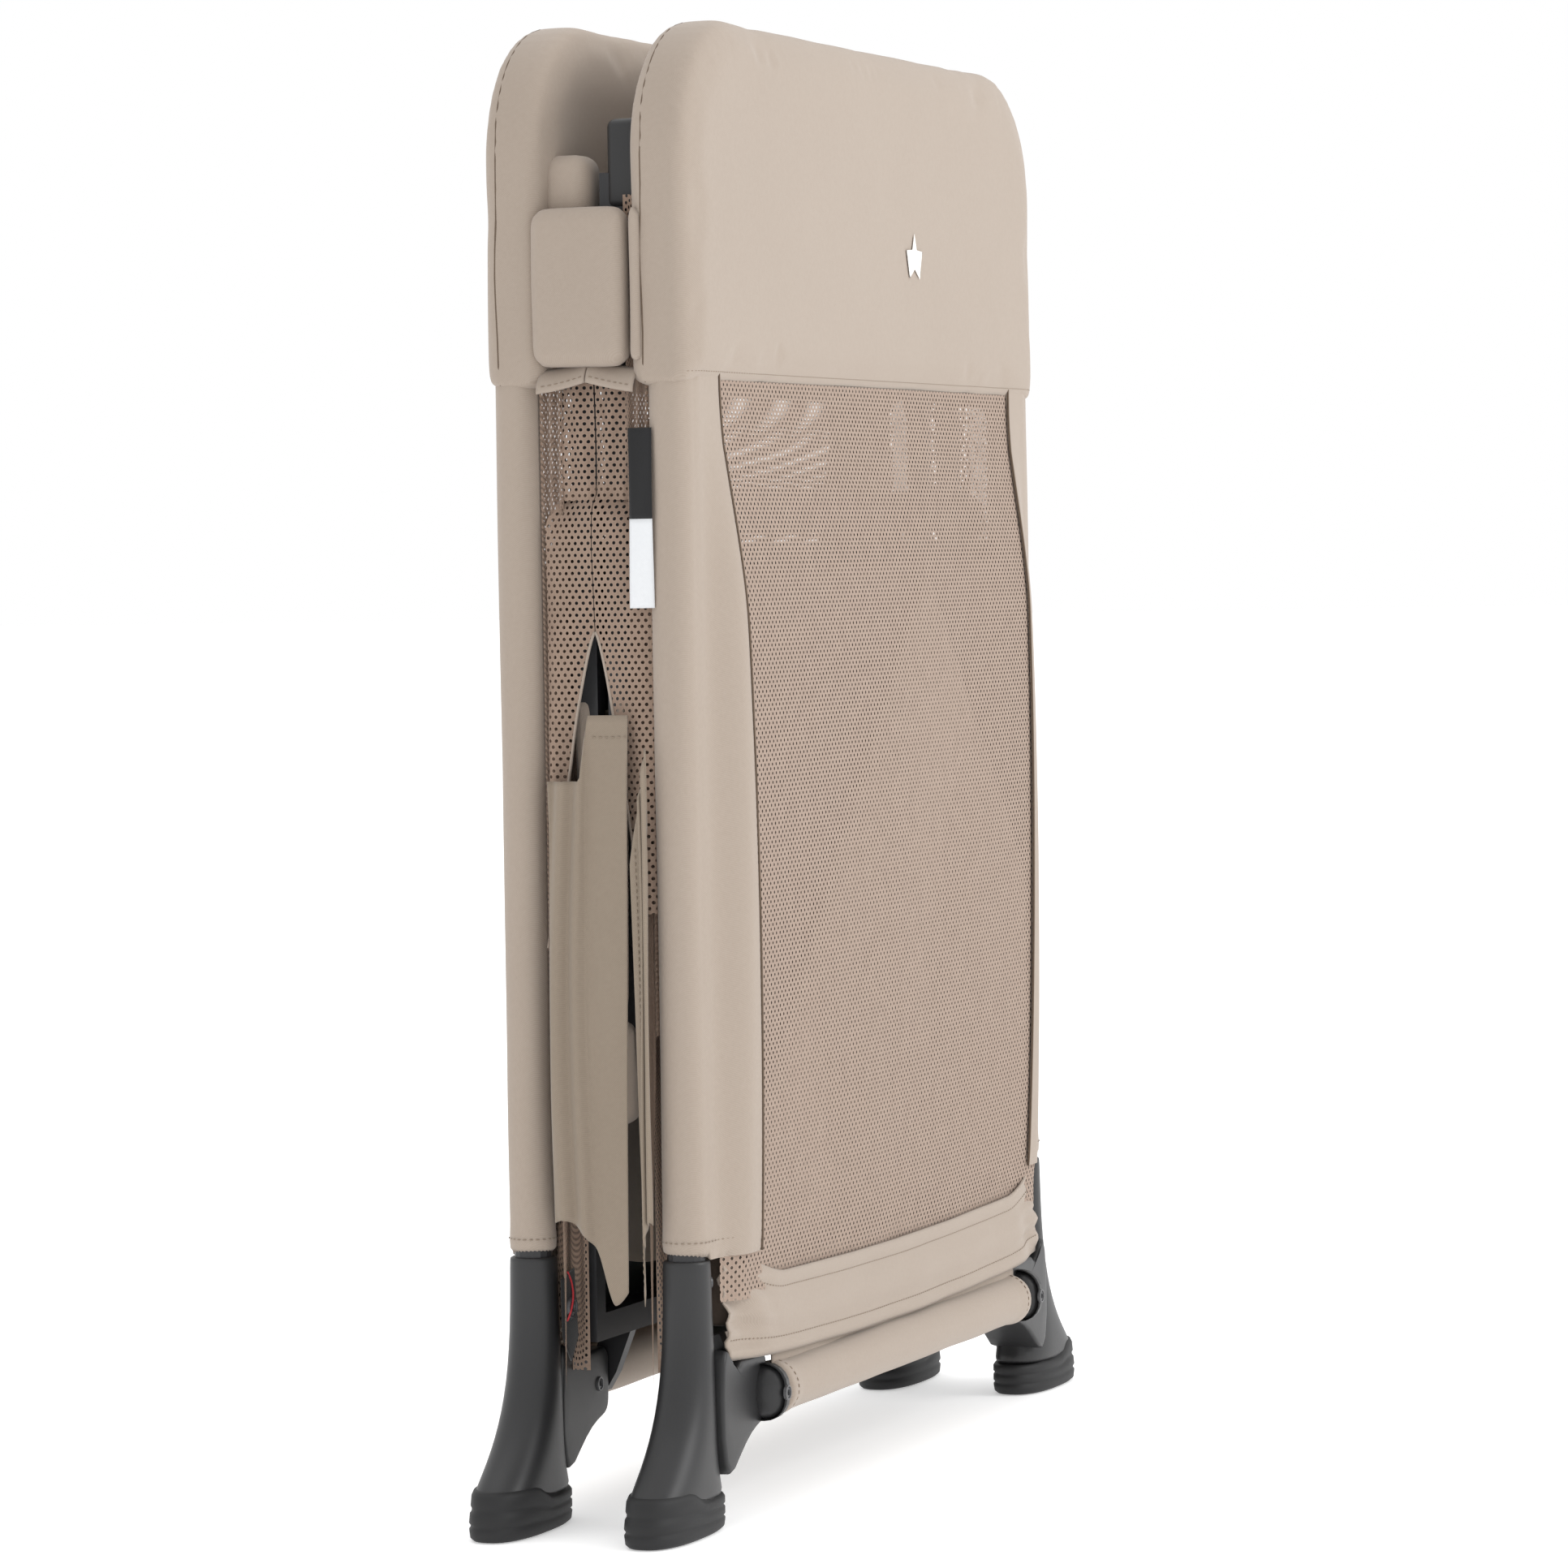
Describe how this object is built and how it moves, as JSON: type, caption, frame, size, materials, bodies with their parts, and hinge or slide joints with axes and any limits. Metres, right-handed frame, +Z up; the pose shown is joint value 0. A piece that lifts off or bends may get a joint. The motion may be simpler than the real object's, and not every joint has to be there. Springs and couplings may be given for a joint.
{
  "type": "folding travel cot",
  "caption": "Folding travel cot with padded end frames, flared black feet, mesh walls, and a floor and top rails that fold flat at mid-length.",
  "frame": {"origin": "centre of the folded cot's footprint, on the ground", "axes": "+X along the end frames, +Y from the front end frame to the rear one, +Z up"},
  "size_m": [0.67, 0.1504, 0.785],
  "materials": {
    "beige_fabric": "matte twill weave",
    "beige_mesh": "perforated knit mesh",
    "dark_mesh": "fine dark mesh",
    "black_plastic": "satin black, fine grain",
    "sole_rubber": "matte black rubber",
    "black_steel": "black powder coat",
    "dark_board": "matte black board",
    "red_plastic": "matte red moulding"
  },
  "bodies": {
    "front_end_frame": {"front_end_tube": "black_steel", "front_left_leg_casting": "black_plastic", "front_right_leg_casting": "black_plastic", "front_left_sole": "sole_rubber", "front_right_sole": "sole_rubber", "front_left_leg_sleeve": "beige_fabric", "front_right_leg_sleeve": "beige_fabric", "front_left_rail_bracket": "black_plastic", "front_right_rail_bracket": "black_plastic", "front_padded_cap": "beige_fabric", "front_mesh_wall": "beige_mesh", "front_bottom_border": "beige_fabric", "front_cross_tube": "beige_fabric", "front_left_upper_side_mesh": "dark_mesh", "front_right_upper_side_mesh": "dark_mesh", "front_left_lower_side_mesh": "dark_mesh", "front_right_lower_side_mesh": "dark_mesh"},
    "front_floor": {"front_floor_frame": "black_steel", "front_floor_board": "dark_board", "front_mattress": "beige_fabric"},
    "floor_middle": {"floor_spine": "black_plastic", "left_spine_foot": "sole_rubber", "right_spine_foot": "sole_rubber"},
    "rear_floor": {"rear_floor_frame": "black_steel", "rear_floor_board": "dark_board", "rear_mattress": "beige_fabric"},
    "rear_end_frame": {"rear_end_tube": "black_steel", "rear_left_leg_casting": "black_plastic", "rear_right_leg_casting": "black_plastic", "rear_left_sole": "sole_rubber", "rear_right_sole": "sole_rubber", "rear_left_leg_sleeve": "beige_fabric", "rear_right_leg_sleeve": "beige_fabric", "rear_left_rail_bracket": "black_plastic", "rear_right_rail_bracket": "black_plastic", "rear_padded_cap": "beige_fabric", "rear_mesh_wall": "beige_mesh", "rear_bottom_border": "beige_fabric", "rear_cross_tube": "beige_fabric", "rear_left_upper_side_mesh": "dark_mesh", "rear_right_upper_side_mesh": "dark_mesh", "rear_left_lower_side_mesh": "dark_mesh", "rear_right_lower_side_mesh": "dark_mesh"},
    "front_left_rail": {"front_left_top_rail": "black_steel", "front_left_rail_pad": "beige_fabric"},
    "front_right_rail": {"front_right_top_rail": "black_steel", "front_right_rail_pad": "beige_fabric"},
    "rear_left_rail": {"rear_left_top_rail": "black_steel", "rear_left_rail_pad": "beige_fabric"},
    "rear_right_rail": {"rear_right_top_rail": "black_steel", "rear_right_rail_pad": "beige_fabric"},
    "left_lock": {"left_rail_lock": "black_plastic"},
    "right_lock": {"right_rail_lock": "black_plastic"},
    "left_button": {"left_lock_button": "red_plastic"},
    "right_button": {"right_lock_button": "red_plastic"}
  },
  "joints": [
    {"name": "front_floor_fold", "type": "hinge", "parent": "front_end_frame", "child": "front_floor", "pos_m": [0, -0.037, 0.066], "axis": [-1, 0, 0], "range_deg": [0, 90]},
    {"name": "front_middle_fold", "type": "hinge", "parent": "front_floor", "child": "floor_middle", "pos_m": [0, -0.025, 0.526], "axis": [1, 0, 0], "range_deg": [0, 90]},
    {"name": "rear_middle_fold", "type": "hinge", "parent": "floor_middle", "child": "rear_floor", "pos_m": [0, 0.025, 0.526], "axis": [1, 0, 0], "range_deg": [0, 90]},
    {"name": "rear_floor_fold", "type": "hinge", "parent": "rear_floor", "child": "rear_end_frame", "pos_m": [0, 0.037, 0.066], "axis": [-1, 0, 0], "range_deg": [0, 90]},
    {"name": "front_left_rail_fold", "type": "hinge", "parent": "front_end_frame", "child": "front_left_rail", "pos_m": [-0.257, -0.021, 0.702], "axis": [1, 0, 0], "range_deg": [0, 90]},
    {"name": "front_right_rail_fold", "type": "hinge", "parent": "front_end_frame", "child": "front_right_rail", "pos_m": [0.257, -0.021, 0.702], "axis": [1, 0, 0], "range_deg": [0, 90]},
    {"name": "rear_left_rail_fold", "type": "hinge", "parent": "rear_end_frame", "child": "rear_left_rail", "pos_m": [-0.257, 0.021, 0.702], "axis": [-1, 0, 0], "range_deg": [0, 90]},
    {"name": "rear_right_rail_fold", "type": "hinge", "parent": "rear_end_frame", "child": "rear_right_rail", "pos_m": [0.257, 0.021, 0.702], "axis": [-1, 0, 0], "range_deg": [0, 90]},
    {"name": "left_lock_fold", "type": "hinge", "parent": "front_left_rail", "child": "left_lock", "pos_m": [-0.257, -0.009, 0.242], "axis": [-1, 0, 0], "range_deg": [0, 90]},
    {"name": "right_lock_fold", "type": "hinge", "parent": "front_right_rail", "child": "right_lock", "pos_m": [0.257, -0.009, 0.242], "axis": [-1, 0, 0], "range_deg": [0, 90]},
    {"name": "left_button_press", "type": "slide", "parent": "left_lock", "child": "left_button", "axis": [1, 0, 0], "range_m": [0, 0.003], "stiffness_N_per_m": 400, "springref_m": -0.001},
    {"name": "right_button_press", "type": "slide", "parent": "right_lock", "child": "right_button", "axis": [-1, 0, 0], "range_m": [0, 0.003], "stiffness_N_per_m": 400, "springref_m": -0.001}
  ],
  "couplings": [
    {"joint": "front_middle_fold", "follows": "front_floor_fold", "ratio": 1},
    {"joint": "rear_middle_fold", "follows": "front_floor_fold", "ratio": 1},
    {"joint": "rear_floor_fold", "follows": "front_floor_fold", "ratio": 1},
    {"joint": "front_left_rail_fold", "follows": "front_floor_fold", "ratio": 1},
    {"joint": "front_right_rail_fold", "follows": "front_floor_fold", "ratio": 1},
    {"joint": "rear_left_rail_fold", "follows": "front_floor_fold", "ratio": 1},
    {"joint": "rear_right_rail_fold", "follows": "front_floor_fold", "ratio": 1},
    {"joint": "left_lock_fold", "follows": "front_floor_fold", "ratio": 1},
    {"joint": "right_lock_fold", "follows": "front_floor_fold", "ratio": 1}
  ]
}
